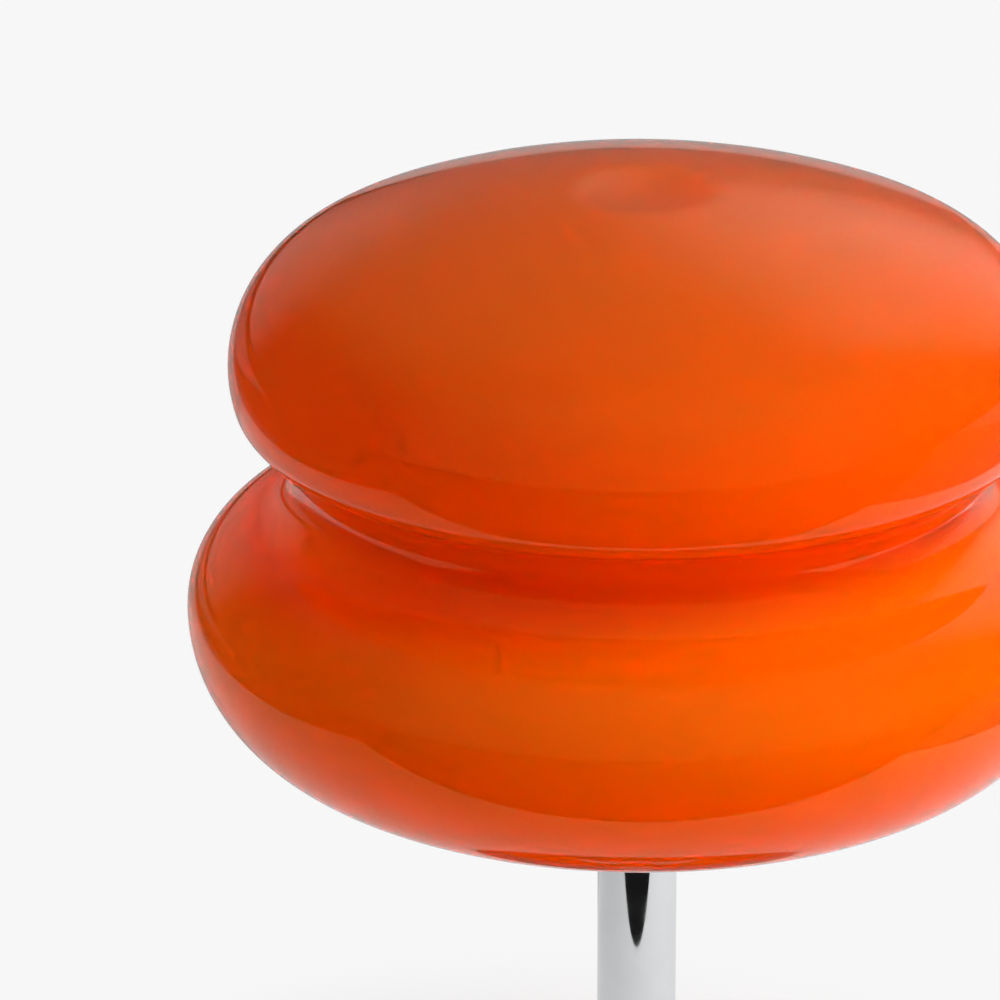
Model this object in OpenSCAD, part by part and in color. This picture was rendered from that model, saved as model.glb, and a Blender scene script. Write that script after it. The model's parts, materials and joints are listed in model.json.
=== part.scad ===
// Table lamp with a two-tier blown glass shade on a plated stem and a weighted round base.
// Millimetres, +Z up, origin at the centre of the face that rests on the table, cord inlet at +Y.

/* [Glass shade] */
// Widest diameter of the lower tier
lower_d = 282; // [268:1:300]
// Widest diameter of the upper tier
upper_d = 255; // [242:1:270]
// Diameter of the waist between the tiers
waist_d = 212; // [196:1:218]
// Height from the lower tier's widest line to the upper tier's
tier_rise = 79; // [74:1:90]
// Height of the crown above the upper tier's widest line
crown_rise = 57.7; // [50:0.1:66]
// Depth of the belly below the lower tier's widest line
belly_drop = 66; // [60:1:74]
// Rim radius of the upper tier above its widest line
crown_rim_r = 40; // [30:1:45]
// Rim radius of the upper tier below its widest line
under_rim_r = 37; // [28:1:44]
// Angle that this lower rim turns through before the corner
under_turn = 17; // [8:1:28]
// Radius of the upper tier's lower corner
corner_r = 11; // [7:0.5:15]
// Radius of the lower tier's shoulder
shoulder_r = 28.5; // [22:0.5:31]
// Rim radius of the lower tier's belly
belly_rim_r = 47; // [38:1:52]
// Thickness of the glass
glass_wall = 4; // [3:0.5:5]
// Diameter of the shallow dimple in the crown
dimple_d = 44; // [30:1:60]
// Depth of the dimple
dimple_depth = 2.2; // [1.2:0.1:3.4]
// Radius of the rounded lip round the dimple
dimple_lip_r = 40; // [20:1:60]
// Diameter of the opening under the shade
neck_d = 78; // [72:1:88]
// Width of the flat ground rim round the opening
rim_w = 5; // [3:0.5:8]

/* [Stem] */
// Outside diameter of the stem
stem_d = 25; // [22:0.5:32]
// Wall of the stem tube
stem_wall = 1.5; // [1:0.1:2]
// Length of the stem tube
stem_h = 138; // [110:1:220]
// Length of the turned plug at each end of the stem
plug_h = 12; // [8:1:20]
// Diameter of the spigot that centres a plug in its plate
spigot_d = 16; // [14:0.5:18]
// Outside diameter of the hollow threaded tie tube
tie_d = 10; // [9:0.5:11]
// Wall of the tie tube
tie_wall = 1.3; // [1:0.1:1.6]

/* [Base] */
// Diameter of the base
base_d = 170; // [150:1:210]
// Height of the base, felt included
base_h = 21; // [20:0.5:28]
// Outside radius of the cover's upper edge
edge_r = 6; // [3:0.5:6]
// Thickness of the cover's sheet
cover_wall = 1.4; // [1:0.1:2]
// Thickness of the felt pad
felt_t = 2; // [1:0.5:3]
// Thickness of the closing plate
plate_t = 1.5; // [1.5:0.1:2.5]
// Gap between the cover's wall and the weight
weight_gap = 3.6; // [2.5:0.1:8]
// Distance of the base screws from the centre
screw_ring_r = 60; // [35:1:68]
// Thread diameter of the base screws
screw_d = 4; // [3:0.5:5]
// Length of the base screws
screw_l = 10; // [6:0.5:12]
// Diameter of the mains lead that the inlet is made for
cord_d = 6; // [5:0.1:6.4]

/* [Gallery] */
// Thickness of the gallery's plate
gallery_t = 2; // [1.5:0.1:3]
// Height of the collar that enters the shade
collar_h = 8; // [6:0.5:12]
// Wall of the collar
collar_wall = 1.5; // [1:0.1:2.5]
// Thickness of the gasket under the glass
gasket_t = 1.5; // [1:0.1:3]

/* [Lampholder] */
// Outside diameter of the lampholder
holder_d = 40; // [38:0.5:44]
// Height of the lampholder's cap
holder_cap_h = 22; // [20:0.5:26]
// Height of the lampholder's body
holder_body_h = 34; // [32:0.5:38]
// Thickness of the ceramic core
core_t = 12; // [10:0.5:14]
// Inside diameter of the screw shell
shell_d = 27.2; // [27:0.1:27.8]

/* [Bulb] */
// Diameter of the bulb's globe
bulb_d = 60; // [50:1:66]
// Diameter of the bulb's screw cap
cap_d = 26.1; // [25.6:0.1:26.4]
// Length of the bulb's screw cap
cap_h = 20; // [18:0.5:21]
// Length of the housing between cap and globe
housing_h = 34; // [28:1:44]

/* [Hidden] */
$fn = 96;

// Turn between neighbouring points of an arc, in degrees
arc_step = 2.5;
// Overrun of a cutting tool past the face that it cuts
over = 1;
// Radial clearance of turned and threaded fits
slip = 0.05;

chrome = [0.78, 0.79, 0.8];
steel = [0.6, 0.61, 0.62];
iron = [0.28, 0.28, 0.3];
brass = [0.8, 0.65, 0.32];
black = [0.1, 0.1, 0.11];
white = [0.94, 0.93, 0.9];
orange = [0.96, 0.36, 0.05];

// Heights of the stack, from the table upwards
plate_top = felt_t + plate_t;
cover_under = base_h - cover_wall;
stem_top = base_h + stem_h;
gallery_top = stem_top + gallery_t;
rim_z = gallery_top + gasket_t + slip;

// Base
base_r = base_d / 2;
cover_inner_r = base_r - cover_wall;
weight_r = cover_inner_r - weight_gap;
weight_chamfer = 3;
plate_gap = 0.4;
plate_r = cover_inner_r - plate_gap;
felt_margin = 3.2;
felt_r = plate_r - felt_margin;
screw_head_over = 3;
screw_head_d = screw_d + screw_head_over;
screw_head_h = plate_t;
screw_angles = [30, 150, 270];
tap_spare = 1;
tap_depth = screw_l - screw_head_h + tap_spare;
cord_gap = 0.2;
grommet_wall = 1;
grommet_bore_r = cord_d / 2 + cord_gap;
grommet_hole_r = grommet_bore_r + grommet_wall;
grommet_flange_w = 1.3;
grommet_flange_r = grommet_hole_r + grommet_flange_w;
grommet_flange_t = 1.5;
grommet_lift = 0.2;
grommet_z = plate_top + grommet_flange_r + grommet_lift;
channel_spare = 3;
channel_w = cord_d + channel_spare;

// Tie tube, nuts and washers
tie_r = tie_d / 2;
nut_h = 4;
nut_over = 4;
nut_flats = tie_d + nut_over;
nut_r = nut_flats / 2 / cos(30);
washer_t = 1.5;
lower_washer_w = 3;
upper_washer_w = 4;
lower_washer_r = nut_r + lower_washer_w;
upper_washer_r = nut_r + upper_washer_w;
pocket_gap = 2;
pocket_r = lower_washer_r + pocket_gap;
pocket_h = 8.5;
pocket_roof = plate_top + pocket_h;
lower_nut_z = pocket_roof - washer_t - nut_h;
tie_start = lower_nut_z - over;
upper_nut_z = gallery_top + washer_t;
holder_z = upper_nut_z + nut_h;
boss_depth = 8;
tie_end = holder_z + boss_depth - over;

// Stem
stem_r = stem_d / 2;
stem_bore_r = stem_r - stem_wall;

// Glass shade, with z counted from the lower tier's widest line
lower_r = lower_d / 2;
upper_r = upper_d / 2;
waist_r = waist_d / 2;
neck_r = neck_d / 2;
dimple_r = dimple_d / 2;

// Centre radius of a basket-handle arch: a rim arc that runs into one arc centred on the axis
function arch_r(half, rise, rim) = (pow(half - rim, 2) / (rise - rim) + rim + rise) / 2;
function arch_turn(half, rise, rim) = atan2(arch_r(half, rise, rim) - rise, half - rim);

floor_r = arch_r(lower_r, belly_drop, belly_rim_r);
floor_c = [0, floor_r - belly_drop];
belly_c = [lower_r - belly_rim_r, 0];
belly_turn = arch_turn(lower_r, belly_drop, belly_rim_r);
shoulder_c = [lower_r - shoulder_r, 0];

crown_r = arch_r(upper_r, crown_rise, crown_rim_r);
crown_c = [0, tier_rise + crown_rise - crown_r];
crown_rim_c = [upper_r - crown_rim_r, tier_rise];
crown_turn = arch_turn(upper_r, crown_rise, crown_rim_r);
under_c = [upper_r - under_rim_r, tier_rise];
corner_c = under_c + (under_rim_r - corner_r) * [cos(under_turn), -sin(under_turn)];

// The waist is the hollow arc that touches shoulder and corner and is waist_d across inside
shoulder_reach = shoulder_c.x + shoulder_r - waist_r;
corner_reach = corner_c.x + corner_r - waist_r;
shoulder_power = pow(waist_r - shoulder_c.x, 2) - pow(shoulder_r, 2);
corner_power = pow(waist_r - corner_c.x, 2) - pow(corner_r, 2);
waist_qa = corner_reach - shoulder_reach;
waist_qb = 2 * (shoulder_reach * corner_c.y - corner_reach * shoulder_c.y);
waist_qc = corner_reach * (shoulder_power + pow(shoulder_c.y, 2))
  - shoulder_reach * (corner_power + pow(corner_c.y, 2));
waist_z = -2 * waist_qc / (waist_qb + sqrt(pow(waist_qb, 2) - 4 * waist_qa * waist_qc));
waist_arc_r = (shoulder_power + pow(waist_z - shoulder_c.y, 2)) / (2 * shoulder_reach);
waist_c = [waist_r + waist_arc_r, waist_z];
shoulder_end = atan2(waist_c.y - shoulder_c.y, waist_c.x - shoulder_c.x);
corner_end = atan2(waist_c.y - corner_c.y, waist_c.x - corner_c.x);

// The dimple is a shallow bowl, joined to the crown by a rounded lip
bowl_bottom = tier_rise + crown_rise - dimple_depth;
bowl_sag = crown_c.y + sqrt(pow(crown_r, 2) - pow(dimple_r, 2)) - bowl_bottom;
bowl_r = (pow(dimple_r, 2) + pow(bowl_sag, 2)) / (2 * bowl_sag);
bowl_c = [0, bowl_bottom + bowl_r];
bowl_up = bowl_c.y - crown_c.y;
lip_up = (pow(bowl_up, 2) + pow(crown_r - dimple_lip_r, 2) - pow(bowl_r + dimple_lip_r, 2))
  / (2 * bowl_up);
lip_c = [sqrt(pow(crown_r - dimple_lip_r, 2) - pow(lip_up, 2)), crown_c.y + lip_up];
lip_start = atan2(lip_up, lip_c.x);
bowl_start = atan2(lip_c.y - bowl_c.y, lip_c.x);

rim_outer_r = neck_r + rim_w;
rim_drop = floor_c.y - sqrt(pow(floor_r, 2) - pow(rim_outer_r, 2));
shade_z = rim_z - rim_drop;

// Gallery
collar_gap = 1;
collar_r = neck_r - collar_gap;
gallery_margin = 2;
gallery_r = rim_outer_r + gallery_margin;
gasket_gap = 0.4;
gasket_inner_r = neck_r + gasket_gap;

// Lampholder
holder_r = holder_d / 2;
holder_wall = 3;
core_r = holder_r - holder_wall;
core_z = holder_z + holder_cap_h - core_t / 2;
core_top = core_z + core_t;
boss_wall = 3;
boss_r = tie_r + boss_wall;
boss_h = 6;
flare_h = 8;
grub_r = 1.5;
terminal_w = 6;
terminal_h = 5;
terminal_y = core_r / 2;
terminal_screw_r = 1.5;
terminal_head_r = 2.4;
terminal_head_h = 1.6;
terminal_screw_l = 4;
wire_hole_r = 2;
shell_t = 0.5;
shell_short = 4;
shell_h = holder_cap_h + holder_body_h - (core_top - holder_z) - shell_short;
shell_hole_r = 8;
contact_w = 4.5;
contact_t = 0.5;
contact_rise = 2;
contact_margin = 1;
core_ledge = 2;
mouth_gap = 1;
mouth_lip_t = 2;

// Bulb
contact_gap = 0.1;
bulb_z = core_top + contact_rise + contact_gap;
tip_r = 4.5;
tip_h = 2;
insulator_h = 4;
insulator_step = 1.5;
cap_z = bulb_z + tip_h + insulator_h;
cap_r = cap_d / 2;
cap_t = 0.45;
cap_bevel = 1.5;
housing_z = cap_z + cap_h;
globe_z = housing_z + housing_h;
globe_r = bulb_d / 2;
globe_wall = 1.2;
globe_foot_in = 1.5;
globe_foot_r = globe_r - globe_foot_in;
housing_r = globe_foot_r;
housing_land = 2;
flare_steps = 12;
board_t = 1.5;
board_gap = 6;

// Points of an arc round c from angle a to angle b
function arc(c, r, a, b) =
  let (n = max(2, ceil(abs(b - a) / arc_step)))
  [for (i = [0:n]) c + r * [cos(a + (b - a) * i / n), sin(a + (b - a) * i / n)]];

// The shade's outline from neck to crown, drawn t inside its outer face
function shade_outline(t, start_r) = concat(
  arc(floor_c, floor_r - t, -acos(start_r / (floor_r - t)), -belly_turn),
  arc(belly_c, belly_rim_r - t, -belly_turn, 0),
  arc(shoulder_c, shoulder_r - t, 0, shoulder_end),
  arc(waist_c, waist_arc_r + t, shoulder_end + 180, corner_end + 180),
  arc(corner_c, corner_r - t, corner_end, -under_turn),
  arc(under_c, under_rim_r - t, -under_turn, 0),
  arc(crown_rim_c, crown_rim_r - t, 0, crown_turn),
  arc(crown_c, crown_r - t, crown_turn, lip_start),
  arc(lip_c, dimple_lip_r - t, lip_start, bowl_start + 180),
  arc(bowl_c, bowl_r + t, bowl_start, -90));

function reversed(points) = [for (i = [len(points) - 1:-1:0]) points[i]];

module turned(points) {
  rotate_extrude() polygon(points);
}

module ring(outer_r, inner_r, h) {
  difference() {
    cylinder(r = outer_r, h = h);
    translate([0, 0, -over]) cylinder(r = inner_r, h = h + 2 * over);
  }
}

module hex_nut(z) {
  translate([0, 0, z]) difference() {
    cylinder(r = nut_r, h = nut_h, $fn = 6);
    translate([0, 0, -over]) cylinder(r = tie_r + slip, h = nut_h + 2 * over);
  }
}

module at_base_screws() {
  for (a = screw_angles) rotate(a) translate([screw_ring_r, 0, 0]) children();
}

// A rod of radius r that runs from the lamp's axis out through the back of the base
module rear_rod(r) {
  translate([0, 0, grommet_z]) rotate([-90, 0, 0]) cylinder(r = r, h = base_d);
}

module felt_pad() {
  color("dimgray") cylinder(r = felt_r, h = felt_t);
}

module base_plate() {
  color(steel) difference() {
    translate([0, 0, felt_t]) cylinder(r = plate_r, h = plate_t);
    at_base_screws() translate([0, 0, felt_t])
      cylinder(r1 = screw_head_d / 2 + slip, r2 = screw_d / 2 + slip, h = screw_head_h);
  }
}

module base_screws() {
  color(steel) at_base_screws() translate([0, 0, felt_t]) {
    cylinder(r1 = screw_head_d / 2, r2 = screw_d / 2, h = screw_head_h);
    cylinder(r = screw_d / 2, h = screw_l);
  }
}

module base_weight() {
  color(iron) difference() {
    turned([
      [0, plate_top], [weight_r, plate_top], [weight_r, cover_under - weight_chamfer],
      [weight_r - weight_chamfer, cover_under], [0, cover_under]
    ]);
    cylinder(r = tie_r + slip, h = base_h);
    cylinder(r = pocket_r, h = pocket_roof);
    translate([-channel_w / 2, 0, 0]) cube([channel_w, base_r, pocket_roof]);
    at_base_screws() cylinder(r = screw_d / 2 + slip, h = plate_top + tap_depth);
  }
}

module base_cover() {
  corner = [base_r - edge_r, base_h - edge_r];
  hole_r = spigot_d / 2 + slip;
  color(chrome) difference() {
    turned(concat(
      [[base_r, felt_t]],
      arc(corner, edge_r, 0, 90),
      [[hole_r, base_h], [hole_r, cover_under]],
      arc(corner, edge_r - cover_wall, 90, 0),
      [[cover_inner_r, felt_t]]));
    rear_rod(grommet_hole_r);
  }
}

module cord_grommet() {
  color(black) difference() {
    union() {
      intersection() {
        rear_rod(grommet_hole_r - slip);
        ring(base_r + grommet_flange_t, cover_inner_r - grommet_flange_t, base_h);
      }
      intersection() {
        rear_rod(grommet_flange_r);
        union() {
          ring(base_r + grommet_flange_t, base_r, base_h);
          ring(cover_inner_r, cover_inner_r - grommet_flange_t, base_h);
        }
      }
    }
    rear_rod(grommet_bore_r);
  }
}

module lower_nut() {
  color(steel) hex_nut(lower_nut_z);
}

module lower_washer() {
  color(steel) translate([0, 0, pocket_roof - washer_t])
    ring(lower_washer_r, tie_r + slip, washer_t);
}

// A plug in the end of the stem tube, with a spigot of length reach that points down
module stem_plug(reach) {
  difference() {
    union() {
      cylinder(r = stem_bore_r - slip, h = plug_h);
      translate([0, 0, -reach]) cylinder(r = spigot_d / 2, h = reach + over);
    }
    translate([0, 0, -reach - over]) cylinder(r = tie_r + slip, h = plug_h + reach + 2 * over);
  }
}

module stem_foot() {
  color(brass) translate([0, 0, base_h]) stem_plug(cover_wall);
}

module stem_head() {
  color(brass) translate([0, 0, stem_top]) mirror([0, 0, 1]) stem_plug(gallery_t);
}

module stem_tube() {
  color(chrome) translate([0, 0, base_h]) ring(stem_r, stem_bore_r, stem_h);
}

module tie_tube() {
  color(steel) translate([0, 0, tie_start]) ring(tie_r, tie_r - tie_wall, tie_end - tie_start);
}

module shade_gallery() {
  hole_r = spigot_d / 2 + slip;
  color(chrome) turned([
    [hole_r, stem_top], [gallery_r, stem_top], [gallery_r, gallery_top],
    [collar_r, gallery_top], [collar_r, gallery_top + collar_h],
    [collar_r - collar_wall, gallery_top + collar_h],
    [collar_r - collar_wall, gallery_top], [hole_r, gallery_top]
  ]);
}

module gallery_gasket() {
  color(white) translate([0, 0, gallery_top]) ring(rim_outer_r, gasket_inner_r, gasket_t);
}

module glass_shade() {
  outer = shade_outline(0, rim_outer_r);
  inner = shade_outline(glass_wall, neck_r);
  color(orange) translate([0, 0, shade_z])
    turned(concat([[neck_r, rim_drop]], outer, reversed(inner)));
}

module upper_washer() {
  color(steel) translate([0, 0, gallery_top]) ring(upper_washer_r, tie_r + slip, washer_t);
}

module upper_nut() {
  color(steel) hex_nut(upper_nut_z);
}

module holder_cap() {
  flare_top = boss_h + flare_h;
  ledge_r = core_r - core_ledge;
  ledge_z = holder_cap_h - core_t / 2;
  color(white) translate([0, 0, holder_z]) difference() {
    turned([
      [tie_r + slip, 0], [boss_r, 0], [boss_r, boss_h], [holder_r, flare_top],
      [holder_r, holder_cap_h], [core_r + slip, holder_cap_h], [core_r + slip, ledge_z],
      [ledge_r, ledge_z], [ledge_r, flare_top], [boss_r, boss_depth], [tie_r + slip, boss_depth]
    ]);
    translate([0, 0, boss_h / 2]) rotate([90, 0, 0]) cylinder(r = grub_r + slip, h = boss_r + over);
  }
}

module holder_grub_screw() {
  color(steel) translate([0, -tie_r - slip, holder_z + boss_h / 2]) rotate([90, 0, 0])
    cylinder(r = grub_r, h = boss_r - tie_r - slip);
}

module holder_core() {
  pocket = terminal_w + 2 * slip;
  color("white") difference() {
    translate([0, 0, core_z]) cylinder(r = core_r, h = core_t);
    for (side = [-1, 1]) {
      translate([-pocket / 2, side * terminal_y - pocket / 2, core_z - over])
        cube([pocket, pocket, terminal_h + over]);
      translate([side * terminal_y, 0, core_z - over])
        cylinder(r = wire_hole_r, h = core_t + 2 * over);
    }
  }
}

module terminal_blocks() {
  color(brass) for (side = [-1, 1]) difference() {
    translate([-terminal_w / 2, side * terminal_y - terminal_w / 2, core_z])
      cube([terminal_w, terminal_w, terminal_h]);
    translate([0, side * terminal_y, core_z - over])
      cylinder(r = terminal_screw_r + slip, h = terminal_screw_l + over);
  }
}

module terminal_screws() {
  color(steel) for (side = [-1, 1]) translate([0, side * terminal_y, core_z]) {
    cylinder(r = terminal_screw_r, h = terminal_screw_l);
    translate([0, 0, -terminal_head_h]) cylinder(r = terminal_head_r, h = terminal_head_h);
  }
}

module centre_contact() {
  foot = shell_hole_r - contact_margin;
  color(brass) translate([0, contact_w / 2, core_top]) rotate([90, 0, 0])
    linear_extrude(height = contact_w) polygon([
      [-foot, 0], [-foot / 2, 0], [0, contact_rise - contact_t], [foot / 2, contact_rise - contact_t],
      [foot / 2, contact_rise], [0, contact_rise], [-foot / 2, contact_t], [-foot, contact_t]
    ]);
}

module screw_shell() {
  inner_r = shell_d / 2;
  color(brass) translate([0, 0, core_top]) turned([
    [shell_hole_r, 0], [inner_r + shell_t, 0], [inner_r + shell_t, shell_h],
    [inner_r, shell_h], [inner_r, shell_t], [shell_hole_r, shell_t]
  ]);
}

module holder_body() {
  start = holder_z + holder_cap_h;
  top = start + holder_body_h;
  mouth_r = shell_d / 2 + shell_t + mouth_gap;
  color(white) turned([
    [core_r + slip, start], [holder_r, start], [holder_r, top], [mouth_r, top],
    [mouth_r, top - mouth_lip_t], [core_r + slip, top - 2 * mouth_lip_t]
  ]);
}

module bulb_tip() {
  color(steel) translate([0, 0, bulb_z]) turned([
    [0, 0], [tip_r / 2, 0], [tip_r, tip_h / 2], [tip_r, tip_h], [0, tip_h]
  ]);
}

module bulb_insulator() {
  color(black) translate([0, 0, bulb_z + tip_h])
    cylinder(r1 = tip_r + insulator_step, r2 = cap_r - cap_bevel, h = insulator_h);
}

module bulb_cap() {
  color(chrome) translate([0, 0, cap_z]) turned([
    [0, 0], [cap_r - cap_bevel, 0], [cap_r, cap_bevel], [cap_r, cap_h], [cap_r - cap_t, cap_h],
    [cap_r - cap_t, cap_bevel + cap_t], [0, cap_bevel + cap_t]
  ]);
}

module bulb_housing() {
  spigot_r = cap_r - cap_t - slip;
  spigot_z = cap_z + 2 * cap_bevel;
  flare = [for (i = [0:flare_steps]) let (u = i / flare_steps) [
    cap_r + (housing_r - cap_r) * (1 - cos(180 * u)) / 2,
    housing_z + housing_land + (housing_h - 2 * housing_land) * u
  ]];
  color(white) turned(concat(
    [[0, spigot_z], [spigot_r, spigot_z], [spigot_r, housing_z], [cap_r, housing_z]],
    flare,
    [[housing_r, globe_z], [0, globe_z]]));
}

module led_board() {
  color("silver") translate([0, 0, globe_z]) cylinder(r = globe_foot_r - board_gap, h = board_t);
}

module bulb_globe() {
  lift = sqrt(pow(globe_r, 2) - pow(globe_foot_r, 2));
  inner_foot = globe_r - globe_wall;
  foot_angle = -asin(lift / globe_r);
  inner_angle = -asin(lift / inner_foot);
  centre = [0, globe_z + lift];
  color("whitesmoke") turned(concat(
    arc(centre, globe_r, foot_angle, 90),
    arc(centre, inner_foot, 90, inner_angle)));
}

felt_pad();
base_plate();
base_screws();
base_weight();
base_cover();
cord_grommet();
lower_nut();
lower_washer();
stem_foot();
stem_tube();
tie_tube();
stem_head();
shade_gallery();
gallery_gasket();
glass_shade();
upper_washer();
upper_nut();
holder_cap();
holder_grub_screw();
holder_core();
terminal_blocks();
terminal_screws();
centre_contact();
screw_shell();
holder_body();
bulb_tip();
bulb_insulator();
bulb_cap();
bulb_housing();
led_board();
bulb_globe();
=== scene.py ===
import json
import math

import bmesh
import bpy
from mathutils import Matrix, Vector


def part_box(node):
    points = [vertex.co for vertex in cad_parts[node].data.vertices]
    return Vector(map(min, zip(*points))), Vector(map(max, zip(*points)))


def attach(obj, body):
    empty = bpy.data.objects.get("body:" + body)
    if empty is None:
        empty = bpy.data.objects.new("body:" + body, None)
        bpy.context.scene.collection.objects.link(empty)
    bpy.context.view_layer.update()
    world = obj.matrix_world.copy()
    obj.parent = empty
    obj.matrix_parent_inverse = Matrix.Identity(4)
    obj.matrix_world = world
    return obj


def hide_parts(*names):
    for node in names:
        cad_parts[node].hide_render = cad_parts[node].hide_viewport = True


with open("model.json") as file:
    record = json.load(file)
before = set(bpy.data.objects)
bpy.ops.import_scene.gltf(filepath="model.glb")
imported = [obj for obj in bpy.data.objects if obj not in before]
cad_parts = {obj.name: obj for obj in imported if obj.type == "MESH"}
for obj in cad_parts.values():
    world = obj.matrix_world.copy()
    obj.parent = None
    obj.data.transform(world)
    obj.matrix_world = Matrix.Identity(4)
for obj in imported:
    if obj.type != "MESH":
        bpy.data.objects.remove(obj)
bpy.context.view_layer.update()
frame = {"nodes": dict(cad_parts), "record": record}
nodes = frame["nodes"]

MM = 0.001

# The shade's driving sizes: two tiers joined by a hollow waist, with a dimple in the crown
LOWER_R = 141 * MM
UPPER_R = 127.5 * MM
WAIST_R = 106 * MM
TIER_RISE = 79 * MM
CROWN_RISE = 57.7 * MM
BELLY_DROP = 66 * MM
CROWN_RIM_R = 40 * MM
UNDER_RIM_R = 37 * MM
UNDER_TURN = math.radians(17)
CORNER_R = 11 * MM
SHOULDER_R = 28.5 * MM
BELLY_RIM_R = 47 * MM
GLASS_WALL = 4 * MM
DIMPLE_R = 22 * MM
DIMPLE_DEPTH = 2.2 * MM
DIMPLE_LIP_R = 40 * MM
NECK_R = 39 * MM
GROUND_RIM_W = 5 * MM
GROUND_BEVEL = 0.5 * MM
WIDEST_OVER_RIM = 62.6 * MM

# The photograph's view: a point just below the lower tier's widest line lies at this pixel
FRAME_SIZE = 1000
AIM_PIXEL = (639, 600)
AIM_DROP = 0.5 * MM
CAMERA_DISTANCE = 2.5
CAMERA_ELEVATION = math.radians(22.2)
SENSOR_W = 36
LENS = 288
CLIP_START = 0.1
CLIP_END = 50

# Steps round a full turn, from the largest piece to the smallest, and the turns of the shade's arcs
SHADE_STEPS = 256
STEM_STEPS = 192
WIDE_STEPS = 160
HOLDER_STEPS = 128
PLAIN_STEPS = 96
SMALL_STEPS = 64
TINY_STEPS = 48
OUTER_TURN = math.radians(2.2)
INNER_TURN = math.radians(5)
GLOBE_TURN = math.radians(2.5)
ROUNDING_TURN = math.radians(15)
SHARP_ANGLE = math.radians(40)

# Points within the first two, in metres, are one point; within the last, in mm, they lie on a wall
MERGE_WITHIN = 1e-7
SEAM_WITHIN = 1e-6
ON_WALL = 0.1

# Sizes in mm of the turned pieces that the CAD boxes don't give
STEM_WALL = 1.5
SPIGOT_HOLE_R = 8.05
COLLAR_GAP = 1
COLLAR_WALL = 1.5
GASKET_W = 4.6
TIE_R = 5.05
NUT_FACE = 0.1
GROMMET_BORE_R = 3.2
GROMMET_R = 4.15
GROMMET_FLANGE_T = 1.5
GROMMET_SEAT = 0.2

# The same for the lampholder: its foot, the grub screw in it, and the skirt
BOSS_R = 8
BOSS_H = 6
CAP_FLARE_H = 14
CAP_H = 22
CAP_FLOOR_H = 8
CAP_LEDGE_R = 15
CAP_LEDGE_H = 16
SKIRT_R = 17
GRUB_PROUD = 0.25
SOCKET_R = 0.75
SOCKET_FLAT = 0.65
SOCKET_DEPTH = 1.2
FLUTES = 24
FLUTE_DEPTH = 0.6
FLUTE_FOOT = 4
FLUTE_HEAD = 6
FLUTE_FADE = 3
STEPS_PER_FLUTE = 8
MOUTH_R = 15.1
MOUTH_DEPTH = 2
MOUTH_SLOPE = 2

# The same for the screw shell and the bulb
THREAD_PITCH = 3.63
SHELL_T = 0.5
SHELL_HOLE_R = 8
SHELL_THREAD_DEPTH = 0.4
SHELL_FOOT = 1.5
SHELL_HEAD = 1
SCREW_CAP_T = 0.45
SCREW_CAP_BEVEL = 1.5
SCREW_CAP_FLOOR = 2
SCREW_CAP_DEPTH = 0.6
SCREW_CAP_FOOT = 1
SCREW_CAP_HEAD = 2.5
CONTACT_R = 2.2
CONTACT_BEVEL_H = 1.1
BASE_GLASS_R = 6
BASE_GLASS_RIM = 0.6
FLARE_POINTS = 40
FLARE_ENDS = 2
NECK_STEP = 0.5
NECK_GROOVE = ((0, 1.6), (0.5, 1.3), (0.5, 0.9), (0, 0.6))
GLOBE_WALL = 1.2

# Radii in mm of the rounded edges of the turned pieces
EDGE_R = {"stem": 0.3, "gallery": 0.6, "gasket": 0.45, "felt": 0.6, "grommet": 0.6, "washer": 0.25,
          "holder_base": 1.6, "grub_screw": 0.3, "holder_skirt": 0.8, "bulb_contact": 0.5,
          "bulb_base_glass": 0.5}

# The CAD pieces that the scene shows as they are
KEPT_NODES = ("base_plate", "base_screws", "base_weight", "base_cover", "lower_nut", "lower_washer",
              "stem_foot", "stem_head", "tie_tube", "holder_core", "terminal_blocks", "terminal_screws",
              "centre_contact", "led_board")

# The orange layer: its colour at heights in metres between two ends, with a darker band at the waist that
# is painted shade in the groove and a duller, less red crown that is painted shade on the top, how far its
# density and roughness drift, how light soaks in and comes back, and the slight waves of blown glass. A
# noise is its cycles a metre, its detail, its roughness and, where it has one, its stretch.
GLASS_HEIGHTS = (0.15, 0.37)
# The stops at 0.27 and 0.284 m are painted shade in the waist's groove; the stop at 0.352 m is painted
# shade on the crown's top
GLASS_COLOURS_AND_PAINTED_SHADE = ((0.17, (0.98, 0.062, 0.0)), (0.215, (0.98, 0.082, 0.0)), (0.236, (0.91, 0.107, 0.0)),
                 (0.256, (0.9, 0.106, 0.0)), (0.27, (0.66, 0.053, 0.0)), (0.284, (0.66, 0.052, 0.0)),
                 (0.297, (0.88, 0.07, 0.0)), (0.315, (0.88, 0.072, 0.0)), (0.352, (0.7, 0.09, 0.004)))
GLASS_DRIFT = (0.985, 1.015)
GLASS_DRIFT_NOISE = (11, 3, 0.55)
GLASS_ROUGHNESS = (0.03, 0.07)
GLASS_ROUGHNESS_NOISE = (30, 4, 0.6, (0.5, 1.2, 1.6))
GLASS_SCATTER = (1.0, 0.1, 0.03)
GLASS_SCATTER_REACH = 0.24
GLASS_TINT = (1.0, 0.85, 0.15, 1)
GLASS_WAVE_NOISE = (16, 1, 0.4)
GLASS_WAVE = 0.12
GLASS_WAVE_HEIGHT = 1.5 * MM

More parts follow.
